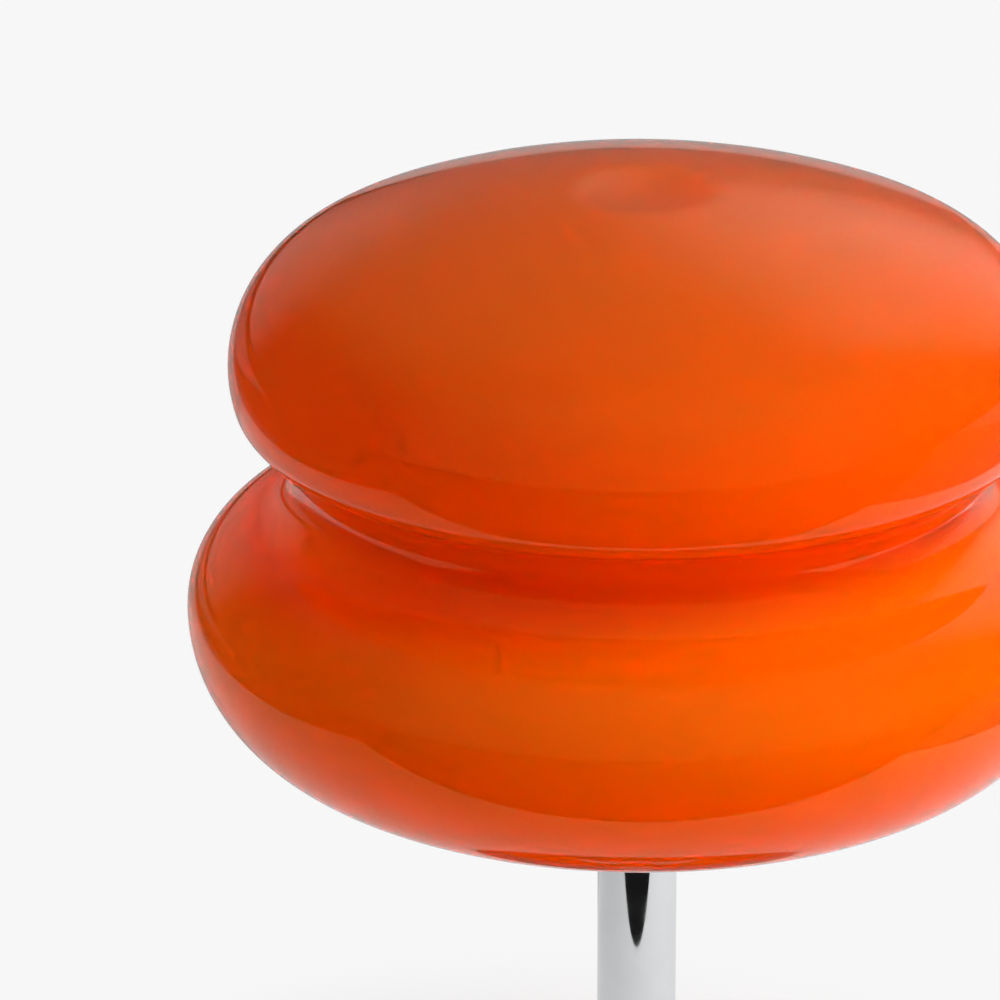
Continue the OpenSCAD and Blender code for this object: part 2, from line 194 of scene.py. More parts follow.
# The other finishes. Each drifts between two colours and two roughnesses over its grain, in cycles a
# metre: first colour, second colour, roughnesses, metallic, grain, bump strength, bump height in metres
FINE_BUMP = 0.1 * MM
FINISHES = {
    "opal_casing": ((0.84, 0.77, 0.68), (0.88, 0.83, 0.76), (0.1, 0.16), 0, 14, 0.0, FINE_BUMP),
    "polished_chrome": ((0.76, 0.77, 0.78), (0.8, 0.81, 0.82), (0.025, 0.07), 1, 60, 0.0, FINE_BUMP),
    "zinc_steel": ((0.56, 0.57, 0.58), (0.68, 0.69, 0.7), (0.24, 0.4), 1, 150, 0.15, FINE_BUMP),
    "cast_iron": ((0.03, 0.03, 0.033), (0.06, 0.06, 0.063), (0.6, 0.85), 0, 90, 0.6, 0.4 * MM),
    "brass": ((0.72, 0.5, 0.2), (0.82, 0.61, 0.29), (0.2, 0.34), 1, 120, 0.1, FINE_BUMP),
    "black_rubber": ((0.018, 0.018, 0.02), (0.03, 0.03, 0.032), (0.55, 0.75), 0, 200, 0.3, FINE_BUMP),
    "clear_silicone": ((0.8, 0.8, 0.77), (0.86, 0.86, 0.83), (0.3, 0.42), 0, 80, 0.0, FINE_BUMP),
    "grey_felt": ((0.045, 0.046, 0.05), (0.09, 0.091, 0.096), (0.9, 1.0), 0, 500, 1.0, 0.6 * MM),
    "white_ceramic": ((0.82, 0.81, 0.76), (0.87, 0.86, 0.81), (0.08, 0.16), 0, 50, 0.05, FINE_BUMP),
    "white_plastic": ((0.76, 0.76, 0.73), (0.8, 0.8, 0.77), (0.28, 0.38), 0, 70, 0.08, FINE_BUMP),
    "bulb_diffuser": ((0.84, 0.83, 0.8), (0.88, 0.87, 0.84), (0.3, 0.4), 0, 60, 0.0, FINE_BUMP),
    "nickel_cap": ((0.6, 0.59, 0.56), (0.7, 0.69, 0.66), (0.16, 0.3), 1, 140, 0.08, FINE_BUMP),
    "board_aluminium": ((0.78, 0.78, 0.76), (0.84, 0.84, 0.82), (0.3, 0.45), 0, 160, 0.1, FINE_BUMP),
}

# Grains of roughness and bumps for each of colour, and the detail and roughness of the three noises
ROUGHNESS_GRAIN = 1.7
BUMP_GRAIN = 8
FINISH_NOISE = (4, 0.6)
BUMP_NOISE = (3, 0.6)

# Shader values that only some finishes have: light that soaks in, and the felt's nap
EXTRAS = {
    "clear_silicone": {"Subsurface Weight": 0.5, "Subsurface Radius": (1.0, 0.9, 0.8),
                       "Subsurface Scale": 2 * MM},
    "grey_felt": {"Sheen Weight": 0.6, "Sheen Roughness": 0.5},
    "bulb_diffuser": {"Subsurface Weight": 0.4, "Subsurface Radius": (1.0, 0.9, 0.8),
                      "Subsurface Scale": 3 * MM},
}

# The floor: what it shows of its own to each kind of ray, its paint, and how it takes the lamp's shadow
PALE = 0.93
FLOOR_REACH = 8
FLOOR_DROP = 0.1 * MM
FLOOR_RAYS = {"Is Camera Ray": 1.0, "Is Glossy Ray": 0.35, "Is Transmission Ray": 0.5}
FLOOR_PAINT = (0.92, 0.92, 0.92, 1)
SHADOW_REACH = (0.1, 0.25)
SHADOW_SHARE = 0.6

# Cards that only mirror images show, a pale table top on a dim floor, with a darker card on it that is a
# painted shadow of the lamp and a table that brightens to the right as painted light from the key light:
# left, right, front and back, how many lifts above the floor, brightness on the lamp's axis, and its
# change with each metre to the right
CARD_LIFT = 1 * MM
TABLE_LEFT, TABLE_RIGHT = -0.6, 0.5
TABLE_FRONT, TABLE_BACK = -0.253, 0.6
CARDS = {
    # The table's rise of 0.52 a metre to the right is painted light, brighter where the key light falls
    "card_table": ((TABLE_LEFT, TABLE_RIGHT, TABLE_FRONT, TABLE_BACK), 1, 0.76, 0.52),
    # A painted shadow: the lamp's shadow on the table behind it to the left, as mirror images show it
    "card_painted_table_shadow": ((-0.3, -0.01, 0.25, TABLE_BACK), 2, 0.48, 0.0),
    "card_beside_table": ((-0.72, TABLE_LEFT, 0.3, 1.1), 2, 0.1, 0.0),
    "card_far_left": ((-2.0, TABLE_LEFT, 1.1, 3.0), 2, 0.15, 0.0),
    "card_floor_front": ((-FLOOR_REACH, FLOOR_REACH, -FLOOR_REACH, TABLE_FRONT), 1, 0.01, 0.0),
    "card_floor_left": ((-FLOOR_REACH, TABLE_LEFT, TABLE_FRONT, FLOOR_REACH), 1, 0.02, 0.0),
    "card_floor_right": ((TABLE_RIGHT, FLOOR_REACH, TABLE_FRONT, TABLE_BACK), 1, 0.15, 0.0),
    "card_floor_back": ((TABLE_LEFT, FLOOR_REACH, TABLE_BACK, FLOOR_REACH), 1, 0.4, 0.0),
}

# The mirrored room: its grey, its even strength, and each soft glow's azimuth, elevation, angles from its
# middle where it starts and is full, and strength there
ROOM_GREY = 0.8
ROOM_LEVEL = 0.03
ROOM_GLOWS = ((150, 28, 31, 10, 0.75), (180, 8, 50, 10, 0.16), (-152, 8, 22, 8, 0.21),
              (0, 90, 58, 35, 0.12), (0, 15, 80, 50, 0.3))
WORLD_FILL = 0.08

# Softboxes: azimuth, elevation, size, and the brightness that each gives a white surface facing it
LIGHT_DISTANCE = 2.4
LIGHT_AIM = Vector((0, 0, 0.25))
LIGHTS = {
    "key_right": (62, 42, 1.5, 0.93),
    "side_right": (100, 35, 1.6, 0.43),
    "back_left": (-118, 10, 1.6, 0.52),
}


# Meshes

def arc(centre, radius, start, end, step):
    """Points of a profile arc, each its distance from the axis and its height, from angle start to end."""
    count = max(2, math.ceil(abs(end - start) / step))
    turns = [start + (end - start) * i / count for i in range(count + 1)]
    return [Vector((centre[0] + radius * math.cos(a), centre[1] + radius * math.sin(a))) for a in turns]


def rounded(profile, corners, radius):
    """The profile with the corners whose places in the list are given turned into arcs of that radius."""
    points = []
    for i, corner in enumerate(profile):
        here = Vector(corner)
        if i not in corners:
            points.append(here)
            continue
        before = (Vector(profile[i - 1]) - here).normalized()
        after = (Vector(profile[(i + 1) % len(profile)]) - here).normalized()
        half = before.angle(after) / 2
        centre = here + (before + after).normalized() * radius / math.sin(half)
        first = here + before * radius / math.tan(half) - centre
        last = here + after * radius / math.tan(half) - centre
        start = math.atan2(first.y, first.x)
        sweep = (math.atan2(last.y, last.x) - start + math.pi) % math.tau - math.pi
        points += arc(centre, radius, start, start + sweep, ROUNDING_TURN)
    return points


def spin_profile(bm, profile, closed, steps):
    """Turns a profile about the lamp's axis; a closed one makes a ring, an open one ends on the axis."""
    verts = [bm.verts.new((p[0], 0, p[1])) for p in profile]
    ends = verts[1:] + verts[:1] if closed else verts[1:]
    edges = [bm.edges.new(pair) for pair in zip(verts, ends)]
    bmesh.ops.spin(bm, geom=verts + edges, axis=(0, 0, 1), cent=(0, 0, 0), dvec=(0, 0, 0),
                   angle=math.tau, steps=steps, use_merge=True)
    bmesh.ops.remove_doubles(bm, verts=bm.verts, dist=MERGE_WITHIN)
    bmesh.ops.dissolve_degenerate(bm, dist=MERGE_WITHIN, edges=bm.edges)


def turned(profile, steps, change=None):
    """A ring from a closed profile in mm. change, if given, moves each point to a new distance from the
    axis, worked out from its distance, its turn and its height."""
    bm = bmesh.new()
    spin_profile(bm, [p * MM for p in profile], True, steps)
    if change:
        for vert in bm.verts:
            x, y, z = vert.co / MM
            reach = math.hypot(x, y)
            if reach > 0:
                vert.co.xy *= change(reach, math.atan2(y, x), z) / reach
    return bm


def put_in_scene(name, bm, materials, body, replaced, weighted=True):
    """Makes the piece from its bmesh, dresses it, ties it to its body, and hides the CAD nodes it
    replaces.
    """
    bmesh.ops.recalc_face_normals(bm, faces=bm.faces)
    for face in bm.faces:
        face.smooth = True
    mesh = bpy.data.meshes.new(name)
    bm.to_mesh(mesh)
    bm.free()
    for material in materials:
        mesh.materials.append(material)
    mesh.set_sharp_from_angle(angle=SHARP_ANGLE)
    piece = bpy.data.objects.new(name, mesh)
    bpy.context.scene.collection.objects.link(piece)
    if weighted:
        normals = piece.modifiers.new("even_normals", "WEIGHTED_NORMAL")
        normals.keep_sharp = True
    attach(piece, body)
    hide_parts(*replaced)


def turned_piece(name, profile, slot, body, replaced, corners=(), steps=PLAIN_STEPS, change=None):
    """A turned piece from a closed profile in mm, with the given corners rounded."""
    bm = turned(rounded(profile, corners, EDGE_R.get(name)), steps, change)
    put_in_scene(name, bm, [looks[slot]], body, replaced)


def in_mm(node):
    low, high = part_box(node)
    return low / MM, high / MM


def block(inner, outer, low, high):
    """The profile of a plain ring, or of a disc where inner is 0."""
    return [(inner, low), (outer, low), (outer, high), (inner, high)]


def wall_points(radius, start, end, step=0.3):
    """Points up or down a straight wall, close enough together to carry a thread or a chamfer."""
    count = math.ceil(abs(end - start) / step)
    return [(radius, start + (end - start) * i / count) for i in range(count + 1)]


def faded(z, low, high, run):
    """1 between low and high, falling smoothly to 0 over the last run at each end."""
    share = max(0, min(1, (z - low) / run, (high - z) / run))
    return share * share * (3 - 2 * share)


def wave(angle):
    """0 at a whole turn and 1 at a half turn, smooth between."""
    return 0.5 - 0.5 * math.cos(angle)


def lay_along_y(bm, turn, y, low, high):
    """Turns a piece made about the lamp's axis to lie along Y from y in mm, midway in height."""
    middle = (low.z + high.z) / 2 * MM
    place = Matrix.Translation((0, y * MM, middle)) @ Matrix.Rotation(turn, 4, "X")
    bmesh.ops.transform(bm, matrix=place, verts=bm.verts)


def hexagon_side(flat, turn):
    """How far a hexagon's side lies from its middle at a turn; flat is its nearest distance."""
    return flat / math.cos((turn + math.pi / 6) % (math.pi / 3) - math.pi / 6)


# Materials

def new_material(name, base, roughness, metallic=0.0):
    """A material and its Principled shader."""
    material = bpy.data.materials.new(name)
    material.use_nodes = True
    shader = material.node_tree.nodes["Principled BSDF"]
    shader.inputs["Base Color"].default_value = (*base, 1)
    shader.inputs["Roughness"].default_value = roughness
    shader.inputs["Metallic"].default_value = metallic
    return material, shader


def add_node(material, kind):
    return material.node_tree.nodes.new(kind)


def wire(material, output, target):
    material.node_tree.links.new(output, target)


def object_noise(material, scale, detail, roughness, stretch=(1, 1, 1)):
    """Noise on the piece's own coordinates, in cycles a metre; stretch squeezes it along an axis."""
    place = add_node(material, "ShaderNodeTexCoord")
    mapping = add_node(material, "ShaderNodeMapping")
    mapping.inputs["Scale"].default_value = stretch
    noise = add_node(material, "ShaderNodeTexNoise")
    noise.inputs["Scale"].default_value = scale
    noise.inputs["Detail"].default_value = detail
    noise.inputs["Roughness"].default_value = roughness
    wire(material, place.outputs["Object"], mapping.inputs["Vector"])
    wire(material, mapping.outputs["Vector"], noise.inputs["Vector"])
    return noise.outputs["Fac"]


def ranged(material, value, low, high, start=0.3, end=0.7):
    """Maps a value between start and end, where most of a noise lies, to the range from low to high."""
    node = add_node(material, "ShaderNodeMapRange")
    node.inputs["From Min"].default_value = start
    node.inputs["From Max"].default_value = end
    node.inputs["To Min"].default_value = low
    node.inputs["To Max"].default_value = high
    wire(material, value, node.inputs["Value"])
    return node.outputs["Result"]


def blended(material, value, first, second):
    """A colour between first and second, by value from 0 to 1."""
    mix = add_node(material, "ShaderNodeMix")
    mix.data_type = "RGBA"
    mix.inputs[6].default_value = (*first, 1)
    mix.inputs[7].default_value = (*second, 1)
    wire(material, value, mix.inputs[0])
    return mix.outputs[2]


def add_bump(material, shader, value, strength, distance):
    bump = add_node(material, "ShaderNodeBump")
    bump.inputs["Strength"].default_value = strength
    bump.inputs["Distance"].default_value = distance
    wire(material, value, bump.inputs["Height"])
    wire(material, bump.outputs["Normal"], shader.inputs["Normal"])


def layer_and_painted_shade(material):
    """The orange layer's colour by height, with painted shade in it: a duller, less red crown is painted
    shade on the top, and a darker band at the waist is painted shade in the groove under the upper tier."""
    place = add_node(material, "ShaderNodeTexCoord")
    split = add_node(material, "ShaderNodeSeparateXYZ")
    wire(material, place.outputs["Object"], split.inputs["Vector"])
    low, high = GLASS_HEIGHTS
    height = ranged(material, split.outputs["Z"], 0, 1, low, high)
    layer = add_node(material, "ShaderNodeValToRGB")
    stops = layer.color_ramp.elements
    while len(stops) < len(GLASS_COLOURS_AND_PAINTED_SHADE):
        stops.new(0.5)
    for stop, (level, colour) in zip(stops, GLASS_COLOURS_AND_PAINTED_SHADE):
        stop.position = (level - low) / (high - low)
        stop.color = (*colour, 1)
    wire(material, height, layer.inputs["Fac"])
    return layer.outputs["Color"]


def make_orange_glass():
    """Cased glass: a deep orange layer whose density drifts a little, over opal that light soaks into."""
    material, shader = new_material("orange_glass", (0.9, 0.1, 0.0), 0.05)
    density = add_node(material, "ShaderNodeHueSaturation")
    # The base colour carries painted shade in the waist's groove and on the crown's top
    wire(material, layer_and_painted_shade(material), density.inputs["Color"])
    drift = ranged(material, object_noise(material, *GLASS_DRIFT_NOISE), *GLASS_DRIFT)
    wire(material, drift, density.inputs["Value"])
    wire(material, density.outputs["Color"], shader.inputs["Base Color"])
    film = ranged(material, object_noise(material, *GLASS_ROUGHNESS_NOISE), *GLASS_ROUGHNESS)
    wire(material, film, shader.inputs["Roughness"])
    shader.subsurface_method = "BURLEY"
    shader.inputs["Subsurface Weight"].default_value = 1.0
    shader.inputs["Subsurface Radius"].default_value = GLASS_SCATTER
    shader.inputs["Subsurface Scale"].default_value = GLASS_SCATTER_REACH
    shader.inputs["Specular Tint"].default_value = GLASS_TINT
    waves = object_noise(material, *GLASS_WAVE_NOISE)
    add_bump(material, shader, waves, GLASS_WAVE, GLASS_WAVE_HEIGHT)
    return material


def make_finish(name, first, second, roughness, metallic, grain, bump, depth):
    """A material whose colour and roughness drift between two values over its grain, with fine bumps."""
    material, shader = new_material(name, first, roughness[0], metallic)
    drift = ranged(material, object_noise(material, grain, *FINISH_NOISE), 0, 1)
    wire(material, blended(material, drift, first, second), shader.inputs["Base Color"])
    scuffs = object_noise(material, grain * ROUGHNESS_GRAIN, *FINISH_NOISE)
    wear = ranged(material, scuffs, *roughness)
    wire(material, wear, shader.inputs["Roughness"])
    if bump:
        bumps = object_noise(material, grain * BUMP_GRAIN, *BUMP_NOISE)
        add_bump(material, shader, bumps, bump, depth)
    for socket, value in EXTRAS.get(name, {}).items():
        shader.inputs[socket].default_value = value
    return material


looks = {name: make_finish(name, *finish) for name, finish in FINISHES.items()}
looks["orange_glass"] = make_orange_glass()


# The glass shade

def basket_arch(half, rise, rim):
    """Radius and turn of an arch whose rim arcs run into one arc centred on the axis."""
    radius = ((half - rim) ** 2 / (rise - rim) + rim + rise) / 2
    return radius, math.atan2(radius - rise, half - rim)


def waist_arc(shoulder_c, corner_c):
    """Centre and radius of the hollow arc that touches shoulder and corner and is WAIST_R off the axis."""
    shoulder_reach = shoulder_c.x + SHOULDER_R - WAIST_R
    corner_reach = corner_c.x + CORNER_R - WAIST_R
    shoulder_power = (WAIST_R - shoulder_c.x) ** 2 - SHOULDER_R ** 2
    corner_power = (WAIST_R - corner_c.x) ** 2 - CORNER_R ** 2
    a = corner_reach - shoulder_reach
    b = 2 * (shoulder_reach * corner_c.y - corner_reach * shoulder_c.y)
    c = (shoulder_reach * -(corner_power + corner_c.y ** 2)
         + corner_reach * (shoulder_power + shoulder_c.y ** 2))
    height = -2 * c / (b + math.sqrt(b * b - 4 * a * c))
    radius = (shoulder_power + (height - shoulder_c.y) ** 2) / (2 * shoulder_reach)
    return Vector((WAIST_R + radius, height)), radius


def heading(start, end):
    return math.atan2(end.y - start.y, end.x - start.x)


def shade_arcs():
    """The arcs of the shade's outer face from the ground rim up to the middle of the dimple.

    Each has its centre, its radius, 1 where the glass lies on the centre's side or -1 where it doesn't,
    and its first and last angle. Heights count from the lower tier's widest line.
    """
    floor_r, floor_turn = basket_arch(LOWER_R, BELLY_DROP, BELLY_RIM_R)
    crown_r, crown_turn = basket_arch(UPPER_R, CROWN_RISE, CROWN_RIM_R)
    floor_c = Vector((0, floor_r - BELLY_DROP))
    belly_c = Vector((LOWER_R - BELLY_RIM_R, 0))
    shoulder_c = Vector((LOWER_R - SHOULDER_R, 0))
    under_c = Vector((UPPER_R - UNDER_RIM_R, TIER_RISE))
    turn = Vector((math.cos(UNDER_TURN), -math.sin(UNDER_TURN)))
    corner_c = under_c + (UNDER_RIM_R - CORNER_R) * turn
    waist_c, waist_r = waist_arc(shoulder_c, corner_c)
    shoulder_end = heading(shoulder_c, waist_c)
    corner_start = heading(corner_c, waist_c)
    crown_top = TIER_RISE + CROWN_RISE
    crown_c = Vector((0, crown_top - crown_r))
    sag = crown_c.y + math.sqrt(crown_r ** 2 - DIMPLE_R ** 2) - (crown_top - DIMPLE_DEPTH)
    bowl_r = (DIMPLE_R ** 2 + sag ** 2) / (2 * sag)
    bowl_c = Vector((0, crown_top - DIMPLE_DEPTH + bowl_r))
    bowl_up = bowl_c.y - crown_c.y
    lip_reach = crown_r - DIMPLE_LIP_R
    lip_up = (bowl_up ** 2 + lip_reach ** 2 - (bowl_r + DIMPLE_LIP_R) ** 2) / (2 * bowl_up)
    lip_c = crown_c + Vector((math.sqrt(lip_reach ** 2 - lip_up ** 2), lip_up))
    lip_start = heading(crown_c, lip_c)
    bowl_start = heading(bowl_c, lip_c)
    return [
        (floor_c, floor_r, 1, None, -floor_turn),
        (belly_c, BELLY_RIM_R, 1, -floor_turn, 0),
        (shoulder_c, SHOULDER_R, 1, 0, shoulder_end),
        (waist_c, waist_r, -1, shoulder_end + math.pi, corner_start + math.pi),
        (corner_c, CORNER_R, 1, corner_start, -UNDER_TURN),
        (under_c, UNDER_RIM_R, 1, -UNDER_TURN, 0),
        (Vector((UPPER_R - CROWN_RIM_R, TIER_RISE)), CROWN_RIM_R, 1, 0, crown_turn),
        (crown_c, crown_r, 1, crown_turn, lip_start),
        (lip_c, DIMPLE_LIP_R, 1, lip_start, bowl_start + math.pi),
        (bowl_c, bowl_r, -1, bowl_start, -math.pi / 2),
    ]


def shade_outline(depth, start_r, step):
    """The outline from the neck to the dimple, drawn depth inside the outer face, without doubled ends."""
    points = []
    for centre, radius, side, start, end in shade_arcs():
        radius = radius - side * depth
        if start is None:
            start = -math.acos(start_r / radius)
        points += arc(centre, radius, start, end, step)[1 if points else 0:]
    points[-1].x = 0
    return points


def on_ground_rim(edge, rim_z):
    """Whether an edge runs round the flat rim that the shade stands on."""
    first, last = edge.verts
    level = all(abs(vert.co.z - rim_z) < SEAM_WITHIN for vert in (first, last))
    return level and abs(first.co.xy.length - last.co.xy.length) < SEAM_WITHIN


def make_shade():
    """The orange outer face and the opal inner face, joined at the ground rim, whose edges are broken."""
    outer = shade_outline(0, NECK_R + GROUND_RIM_W, OUTER_TURN)
    inner = shade_outline(GLASS_WALL, NECK_R, INNER_TURN)
    rim_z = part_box("glass_shade")[0].z
    lift = Vector((0, rim_z - outer[0].y))
    ground_edge = Vector((NECK_R, outer[0].y)) + lift
    bm = bmesh.new()
    spin_profile(bm, [p + lift for p in reversed(outer)] + [ground_edge], False, SHADE_STEPS)
    inner_bm = bmesh.new()
    spin_profile(inner_bm, [ground_edge] + [p + lift for p in inner], False, SHADE_STEPS)
    for face in inner_bm.faces:
        face.material_index = 1
    inner_mesh = bpy.data.meshes.new("inner_face")
    inner_bm.to_mesh(inner_mesh)
    inner_bm.free()
    bm.from_mesh(inner_mesh)
    bpy.data.meshes.remove(inner_mesh)
    bmesh.ops.remove_doubles(bm, verts=bm.verts, dist=SEAM_WITHIN)
    ground = [edge for edge in bm.edges if on_ground_rim(edge, rim_z)]
    bmesh.ops.bevel(bm, geom=ground, offset=GROUND_BEVEL, offset_type="OFFSET", segments=3, profile=0.5,
                    affect="EDGES", material=-1)
    put_in_scene("shade", bm, [looks["orange_glass"], looks["opal_casing"]], "shade",
                 ["glass_shade"], weighted=False)


# Stem, base and gallery

def make_stem():
    low, high = in_mm("stem_tube")
    turned_piece("stem", block(high.x - STEM_WALL, high.x, low.z, high.z), "polished_chrome", "stand",
                 ["stem_tube"], corners=(1, 2), steps=STEM_STEPS)


def make_gallery():
    """The round plate under the shade, with a collar that stands up in the glass's neck."""
    low, high = in_mm("shade_gallery")
    gasket_low, gasket_high = in_mm("gallery_gasket")
    outer, collar_top, top = high.x, high.z, gasket_low.z
    collar = gasket_high.x - GROUND_RIM_W / MM - COLLAR_GAP
    inside = collar - COLLAR_WALL
    profile = [(SPIGOT_HOLE_R, low.z), (outer, low.z), (outer, top), (collar, top), (collar, collar_top),
               (inside, collar_top), (inside, top), (SPIGOT_HOLE_R, top)]
    turned_piece("gallery", profile, "polished_chrome", "stand", ["shade_gallery"],
                 corners=(1, 2, 4, 5), steps=WIDE_STEPS)


def make_gasket():
    low, high = in_mm("gallery_gasket")
    turned_piece("gasket", block(high.x - GASKET_W, high.x, low.z, high.z), "clear_silicone", "stand",
                 ["gallery_gasket"], corners=(0, 1, 2, 3), steps=WIDE_STEPS)


def make_felt():
    low, high = in_mm("felt_pad")
    turned_piece("felt", block(0, high.x, low.z, high.z), "grey_felt", "stand", ["felt_pad"],
                 corners=(1, 2), steps=WIDE_STEPS)


def make_grommet():
    """A moulded bush with a rounded flange on each face of the cover's wall, turned to point backwards."""
    low, high = in_mm("cord_grommet")
    flange, face, back = high.x, high.y, low.y
    wall_out = face - GROMMET_FLANGE_T - GROMMET_SEAT
    wall_in = back + GROMMET_FLANGE_T
    profile = [(GROMMET_BORE_R, back), (flange, back), (flange, wall_in), (GROMMET_R, wall_in),
               (GROMMET_R, wall_out), (flange, wall_out), (flange, face), (GROMMET_BORE_R, face)]
    bm = turned(rounded(profile, (0, 1, 6, 7), EDGE_R["grommet"]), SMALL_STEPS)
    lay_along_y(bm, -math.pi / 2, 0, low, high)
    put_in_scene("grommet", bm, [looks["black_rubber"]], "stand", ["cord_grommet"])


def make_washer():
    low, high = in_mm("upper_washer")
    turned_piece("washer", block(TIE_R, high.x, low.z, high.z), "zinc_steel", "stand", ["upper_washer"],
                 corners=(1, 2))


def make_nut():
    """A hexagon nut: a ring whose wall is drawn in to six flats, with a turned chamfer at each end."""
    low, high = in_mm("upper_nut")
    flat = high.x * math.cos(math.pi / 6)

    def hexagon(reach, turn, z):
        if reach < flat:
            return reach
        chamfer = flat + NUT_FACE + min(z - low.z, high.z - z) / math.tan(math.pi / 6)
        return min(hexagon_side(flat, turn), chamfer)

    profile = [(TIE_R, low.z)] + wall_points(high.x, low.z, high.z, 0.1) + [(TIE_R, high.z)]
    turned_piece("nut", profile, "zinc_steel", "stand", ["upper_nut"], change=hexagon)


# Lampholder

def make_holder_cap():
    """The holder's foot: a boss on the tie tube that flares to a cup, with a ledge for the core."""
    low, high = in_mm("holder_cap")
    profile = [(TIE_R, 0), (BOSS_R, 0), (BOSS_R, BOSS_H), (high.x, CAP_FLARE_H), (high.x, CAP_H),
               (SKIRT_R, CAP_H), (SKIRT_R, CAP_LEDGE_H), (CAP_LEDGE_R, CAP_LEDGE_H),
               (CAP_LEDGE_R, CAP_FLARE_H), (BOSS_R, CAP_FLOOR_H), (TIE_R, CAP_FLOOR_H)]
    turned_piece("holder_base", [(r, h + low.z) for r, h in profile], "white_plastic", "stand",
                 ["holder_cap"], corners=(1, 2, 3), steps=HOLDER_STEPS)


def make_grub_screw():
    """A socket grub screw that stands a little proud of the boss, with a six-sided recess."""
    low, high = in_mm("holder_grub_screw")
    length = high.y - (low.y - GRUB_PROUD)
    profile = [(0, 0), (high.x, 0), (high.x, length), (SOCKET_R, length),
               (SOCKET_R, length - SOCKET_DEPTH), (0, length - SOCKET_DEPTH)]

    def socket(reach, turn, z):
        return hexagon_side(SOCKET_FLAT, turn) if abs(reach - SOCKET_R) < ON_WALL else reach

    bm = turned(rounded(profile, (2,), EDGE_R["grub_screw"]), TINY_STEPS, socket)
    lay_along_y(bm, math.pi / 2, high.y, low, high)
    put_in_scene("grub_screw", bm, [looks["zinc_steel"]], "stand", ["holder_grub_screw"])


def make_holder_body():
    """The lampholder's skirt, with finger flutes round its outside and a lip at its mouth."""
    low, high = in_mm("holder_body")
    start, end = low.z + FLUTE_FOOT, high.z - FLUTE_HEAD

    def fluted(reach, turn, z):
        if reach < high.x - ON_WALL:
            return reach
        return reach - FLUTE_DEPTH * wave(FLUTES * turn) * faded(z, start, end, FLUTE_FADE)

    wall = wall_points(high.x, low.z, high.z, 1)
    profile = [(SKIRT_R, low.z)] + wall + [(MOUTH_R, high.z), (MOUTH_R, high.z - MOUTH_DEPTH),
                                           (SKIRT_R, high.z - MOUTH_DEPTH - MOUTH_SLOPE)]
    turned_piece("holder_skirt", profile, "white_plastic", "stand", ["holder_body"],
                 corners=(len(wall), len(wall) + 1), steps=FLUTES * STEPS_PER_FLUTE, change=fluted)


def threaded(start, end, depth, inner):
    """A pressed thread between two heights, one start, right-handed, on what lies beyond inner."""
    def change(reach, turn, z):
        if reach < inner - ON_WALL:
            return reach
        groove = wave(math.tau * z / THREAD_PITCH - turn)
        return reach - depth * groove * faded(z, start, end, THREAD_PITCH)
    return change


def make_screw_shell():
    low, high = in_mm("screw_shell")
    inner = high.x - SHELL_T
    floor = low.z + SHELL_T
    profile = [(SHELL_HOLE_R, low.z)] + wall_points(high.x, low.z, high.z)
    profile += wall_points(inner, high.z, floor) + [(SHELL_HOLE_R, floor)]
    thread = threaded(low.z + SHELL_FOOT, high.z - SHELL_HEAD, SHELL_THREAD_DEPTH, inner)
    turned_piece("shell", profile, "brass", "stand", ["screw_shell"], change=thread)


# Bulb

def make_bulb_contact():
    low, high = in_mm("bulb_tip")
    profile = [(0, low.z), (CONTACT_R, low.z), (high.x, low.z + CONTACT_BEVEL_H), (high.x, high.z),
               (0, high.z)]
    turned_piece("bulb_contact", profile, "zinc_steel", "bulb", ["bulb_tip"], corners=(1, 2),
                 steps=TINY_STEPS)


def make_bulb_base_glass():
    low, high = in_mm("bulb_insulator")
    profile = [(0, low.z), (BASE_GLASS_R, low.z), (high.x, high.z - BASE_GLASS_RIM), (high.x, high.z),
               (0, high.z)]
    turned_piece("bulb_base_glass", profile, "black_rubber", "bulb", ["bulb_insulator"], corners=(1, 2),
                 steps=SMALL_STEPS)


def make_bulb_screw_cap():
    low, high = in_mm("bulb_cap")
    inner = high.x - SCREW_CAP_T
    floor = low.z + SCREW_CAP_FLOOR
    profile = [(0, low.z), (high.x - SCREW_CAP_BEVEL, low.z)]
    profile += wall_points(high.x, low.z + SCREW_CAP_BEVEL, high.z)
    profile += wall_points(inner, high.z, floor) + [(0, floor)]
    thread = threaded(low.z + SCREW_CAP_FOOT, high.z - SCREW_CAP_HEAD, SCREW_CAP_DEPTH, inner)
    turned_piece("bulb_screw_cap", profile, "nickel_cap", "bulb", ["bulb_cap"], change=thread)


def make_bulb_housing():
    """The heat-conducting neck, flaring from the screw cap to the globe's foot, with a groove below it."""
    low, high = in_mm("bulb_housing")
    neck, start = in_mm("bulb_cap")[1].xz
    foot = high.x
    rise = high.z - start - 2 * FLARE_ENDS
    flare = []
    for i in range(FLARE_POINTS + 1):
        share = i / FLARE_POINTS
        reach = neck + (foot - neck) * wave(math.pi * share)
        flare.append((reach, start + FLARE_ENDS + rise * share))
    groove = [(foot - inward, high.z - down) for inward, down in NECK_GROOVE]
    profile = [(0, low.z), (neck - NECK_STEP, low.z), (neck - NECK_STEP, start), (neck, start)]
    profile += flare + groove + [(foot, high.z), (0, high.z)]
    turned_piece("bulb_neck", profile, "white_plastic", "bulb", ["bulb_housing"], steps=HOLDER_STEPS)


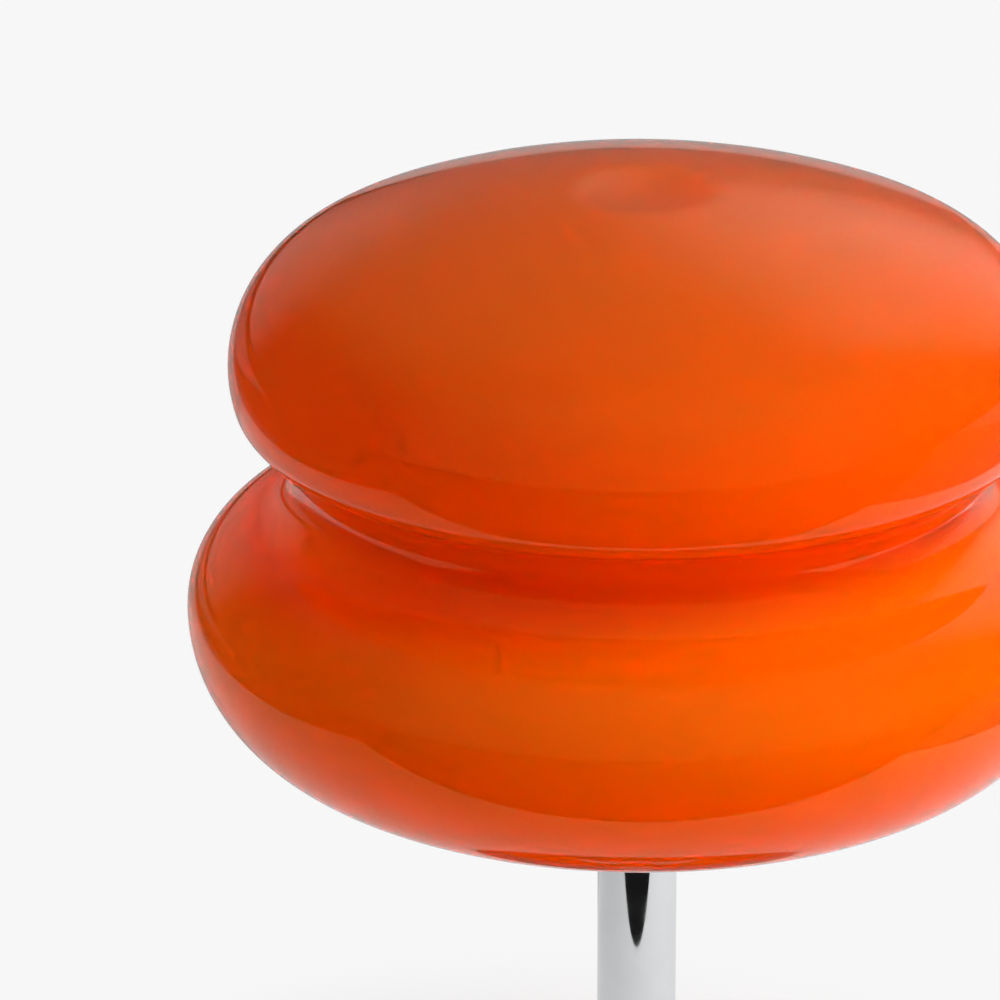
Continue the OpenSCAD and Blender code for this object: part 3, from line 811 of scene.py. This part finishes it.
def make_bulb_globe():
    low, high = in_mm("bulb_globe")
    radius = high.x
    inner = radius - GLOBE_WALL
    centre = (0, high.z - radius)
    lift = centre[1] - low.z
    profile = arc(centre, radius, -math.asin(lift / radius), math.pi / 2, GLOBE_TURN)
    profile += arc(centre, inner, math.pi / 2, -math.asin(lift / inner), INNER_TURN)
    for point in profile:
        if abs(point.x) < SEAM_WITHIN:
            point.x = 0
    turned_piece("bulb_globe_shell", profile, "bulb_diffuser", "bulb", ["bulb_globe"], steps=HOLDER_STEPS)


def dress_kept_nodes():
    """The CAD pieces that are kept as they are get the look of their material slot."""
    slot_of = {entry["node"]: entry["material_slot"] for entry in frame["record"]["subparts"]}
    for name in KEPT_NODES:
        node = nodes[name]
        if not node.data.materials:
            node.data.materials.append(None)
        node.material_slots[0].material = looks[slot_of[name]]


# Floor, reflection cards, room, lights and camera

def flat_panel(name, sides, z, material):
    """A flat panel between its left, right, front and back sides, at a height."""
    left, right, front, back = sides
    bm = bmesh.new()
    corners = ((left, front, z), (right, front, z), (right, back, z), (left, back, z))
    bm.faces.new([bm.verts.new(corner) for corner in corners])
    mesh = bpy.data.meshes.new(name)
    bm.to_mesh(mesh)
    bm.free()
    mesh.materials.append(material)
    panel = bpy.data.objects.new(name, mesh)
    bpy.context.scene.collection.objects.link(panel)
    return panel


def bare_material(name):
    """A material with nothing but its output, and the socket that a shader goes to."""
    material = bpy.data.materials.new(name)
    material.use_nodes = True
    tree = material.node_tree
    tree.nodes.clear()
    return material, tree, tree.nodes.new("ShaderNodeOutputMaterial").inputs["Surface"]


def mixed(tree, share, first, second):
    """A shader that goes from first to second as share goes from 0 to 1."""
    mix = tree.nodes.new("ShaderNodeMixShader")
    tree.links.new(share, mix.inputs["Fac"])
    tree.links.new(first, mix.inputs[1])
    tree.links.new(second, mix.inputs[2])
    return mix.outputs["Shader"]


def smooth_share(tree, value, start, end, most):
    """Rises smoothly from 0 at start to most at end."""
    share = tree.nodes.new("ShaderNodeMapRange")
    share.interpolation_type = "SMOOTHSTEP"
    share.inputs["From Min"].default_value = start
    share.inputs["From Max"].default_value = end
    share.inputs["To Min"].default_value = 0
    share.inputs["To Max"].default_value = most
    tree.links.new(value, share.inputs["Value"])
    return share.outputs["Result"]


def summed(tree, value, weight, rest):
    """value times weight, plus rest, which is a number or a node's output."""
    total = tree.nodes.new("ShaderNodeMath")
    total.operation = "MULTIPLY_ADD"
    tree.links.new(value, total.inputs[0])
    total.inputs[1].default_value = weight
    if isinstance(rest, (int, float)):
        total.inputs[2].default_value = rest
    else:
        tree.links.new(rest, total.inputs[2])
    return total.outputs[0]


def painted(tree):
    paint = tree.nodes.new("ShaderNodeBsdfDiffuse")
    paint.inputs["Color"].default_value = FLOOR_PAINT
    return paint.outputs["BSDF"]


def make_floor():
    """A pale floor that takes the lamp's shadow near the base. From below it is clear, so that the
    underside can be looked at through it."""
    material, tree, surface = bare_material("pale_floor")
    paths = tree.nodes.new("ShaderNodeLightPath")
    own = 0
    for ray, weight in FLOOR_RAYS.items():
        own = summed(tree, paths.outputs[ray], weight, own)
    glow = tree.nodes.new("ShaderNodeEmission")
    glow.inputs["Color"].default_value = (PALE, PALE, PALE, 1)
    pale = mixed(tree, own, painted(tree), glow.outputs["Emission"])
    place = tree.nodes.new("ShaderNodeTexCoord")
    reach = tree.nodes.new("ShaderNodeVectorMath")
    reach.operation = "LENGTH"
    tree.links.new(place.outputs["Object"], reach.inputs[0])
    near, far = SHADOW_REACH
    shadowed = smooth_share(tree, reach.outputs["Value"], far, near, SHADOW_SHARE)
    above = mixed(tree, shadowed, pale, painted(tree))
    side = tree.nodes.new("ShaderNodeNewGeometry")
    clear = tree.nodes.new("ShaderNodeBsdfTransparent")
    tree.links.new(mixed(tree, side.outputs["Backfacing"], above, clear.outputs["BSDF"]), surface)
    sides = (-FLOOR_REACH, FLOOR_REACH, -FLOOR_REACH, FLOOR_REACH)
    flat_panel("floor", sides, -FLOOR_DROP, material)


def make_card(name, sides, lifts, level, slope):
    """A card that only mirror images show."""
    material, tree, surface = bare_material(name)
    place = tree.nodes.new("ShaderNodeTexCoord")
    split = tree.nodes.new("ShaderNodeSeparateXYZ")
    tree.links.new(place.outputs["Object"], split.inputs["Vector"])
    glow = tree.nodes.new("ShaderNodeEmission")
    # A brightness that rises to the right is painted light on the table, where the key light falls
    tree.links.new(summed(tree, split.outputs["X"], slope, level), glow.inputs["Strength"])
    tree.links.new(glow.outputs["Emission"], surface)
    card = flat_panel(name, sides, lifts * CARD_LIFT, material)
    card.visible_camera = False
    card.visible_diffuse = False
    card.visible_transmission = False
    card.visible_shadow = False


def towards(azimuth, elevation):
    """The direction from the lamp at an azimuth, counted from the front to the right, and an elevation."""
    azimuth, elevation = math.radians(azimuth), math.radians(elevation)
    return Vector((math.sin(azimuth) * math.cos(elevation), -math.cos(azimuth) * math.cos(elevation),
                   math.sin(elevation)))


def mirrored_room(tree):
    """What mirror images show above the floor: an even level and soft glows, the strongest of them behind
    the lamp on the right."""
    place = tree.nodes.new("ShaderNodeTexCoord")
    total = ROOM_LEVEL
    for azimuth, elevation, start, end, most in ROOM_GLOWS:
        along = tree.nodes.new("ShaderNodeVectorMath")
        along.operation = "DOT_PRODUCT"
        along.inputs[1].default_value = towards(azimuth, elevation)
        tree.links.new(place.outputs["Generated"], along.inputs[0])
        edge, middle = math.cos(math.radians(start)), math.cos(math.radians(end))
        glow = smooth_share(tree, along.outputs["Value"], edge, middle, most)
        total = summed(tree, glow, 1, total)
    return total


def background(tree, level):
    shown = tree.nodes.new("ShaderNodeBackground")
    shown.inputs["Color"].default_value = (level, level, level, 1)
    return shown


def make_world():
    """Pale to the camera and through glass, the mirrored room in mirror images, and dim as a light."""
    world = bpy.data.worlds.new("studio")
    bpy.context.scene.world = world
    world.use_nodes = True
    tree = world.node_tree
    tree.nodes.clear()
    output = tree.nodes.new("ShaderNodeOutputWorld")
    paths = tree.nodes.new("ShaderNodeLightPath")
    mirrored = background(tree, ROOM_GREY)
    tree.links.new(mirrored_room(tree), mirrored.inputs["Strength"])
    straight = tree.nodes.new("ShaderNodeMath")
    straight.operation = "MAXIMUM"
    tree.links.new(paths.outputs["Is Camera Ray"], straight.inputs[0])
    tree.links.new(paths.outputs["Is Transmission Ray"], straight.inputs[1])
    fill = background(tree, WORLD_FILL)
    room = mixed(tree, paths.outputs["Is Glossy Ray"], fill.outputs[0], mirrored.outputs[0])
    seen = background(tree, PALE)
    tree.links.new(mixed(tree, straight.outputs[0], room, seen.outputs[0]), output.inputs["Surface"])


def soft_light(name, azimuth, elevation, size, level):
    """A square softbox that faces the shade and that mirror images don't show."""
    back = towards(azimuth, elevation)
    data = bpy.data.lights.new(name, "AREA")
    data.shape = "SQUARE"
    data.size = size
    data.energy = level * (math.pi * LIGHT_DISTANCE) ** 2
    light = bpy.data.objects.new(name, data)
    bpy.context.scene.collection.objects.link(light)
    light.location = LIGHT_AIM + back * LIGHT_DISTANCE
    light.rotation_euler = back.to_track_quat("Z", "Y").to_euler()
    light.visible_camera = False
    light.visible_glossy = False


def place_camera():
    """A long lens with the aim at its pixel, so that the frame cuts the lamp as the photograph does."""
    aim = Vector((0, 0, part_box("glass_shade")[0].z + WIDEST_OVER_RIM - AIM_DROP))
    data = bpy.data.cameras.new("camera")
    data.sensor_width = SENSOR_W
    data.lens = LENS
    data.clip_start = CLIP_START
    data.clip_end = CLIP_END
    camera = bpy.data.objects.new("camera", data)
    bpy.context.scene.collection.objects.link(camera)
    focal = FRAME_SIZE * LENS / SENSOR_W
    across = (AIM_PIXEL[0] - FRAME_SIZE / 2) / focal
    down = (AIM_PIXEL[1] - FRAME_SIZE / 2) / focal
    back = Vector((0, -math.cos(CAMERA_ELEVATION), math.sin(CAMERA_ELEVATION)))
    camera.location = aim + CAMERA_DISTANCE * back
    pitch = CAMERA_ELEVATION - math.atan(down)
    yaw = math.atan(across / math.cos(CAMERA_ELEVATION))
    camera.rotation_euler = (math.pi / 2 - pitch, 0, yaw)
    bpy.context.scene.camera = camera


make_shade()
make_stem()
make_gallery()
make_gasket()
make_felt()
make_grommet()
make_washer()
make_nut()
make_holder_cap()
make_grub_screw()
make_holder_body()
make_screw_shell()
make_bulb_contact()
make_bulb_base_glass()
make_bulb_screw_cap()
make_bulb_housing()
make_bulb_globe()
dress_kept_nodes()

make_floor()
for card_name, card in CARDS.items():
    make_card(card_name, *card)
make_world()
for light_name, light_values in LIGHTS.items():
    soft_light(light_name, *light_values)
place_camera()
bpy.context.scene.view_settings.view_transform = "Standard"
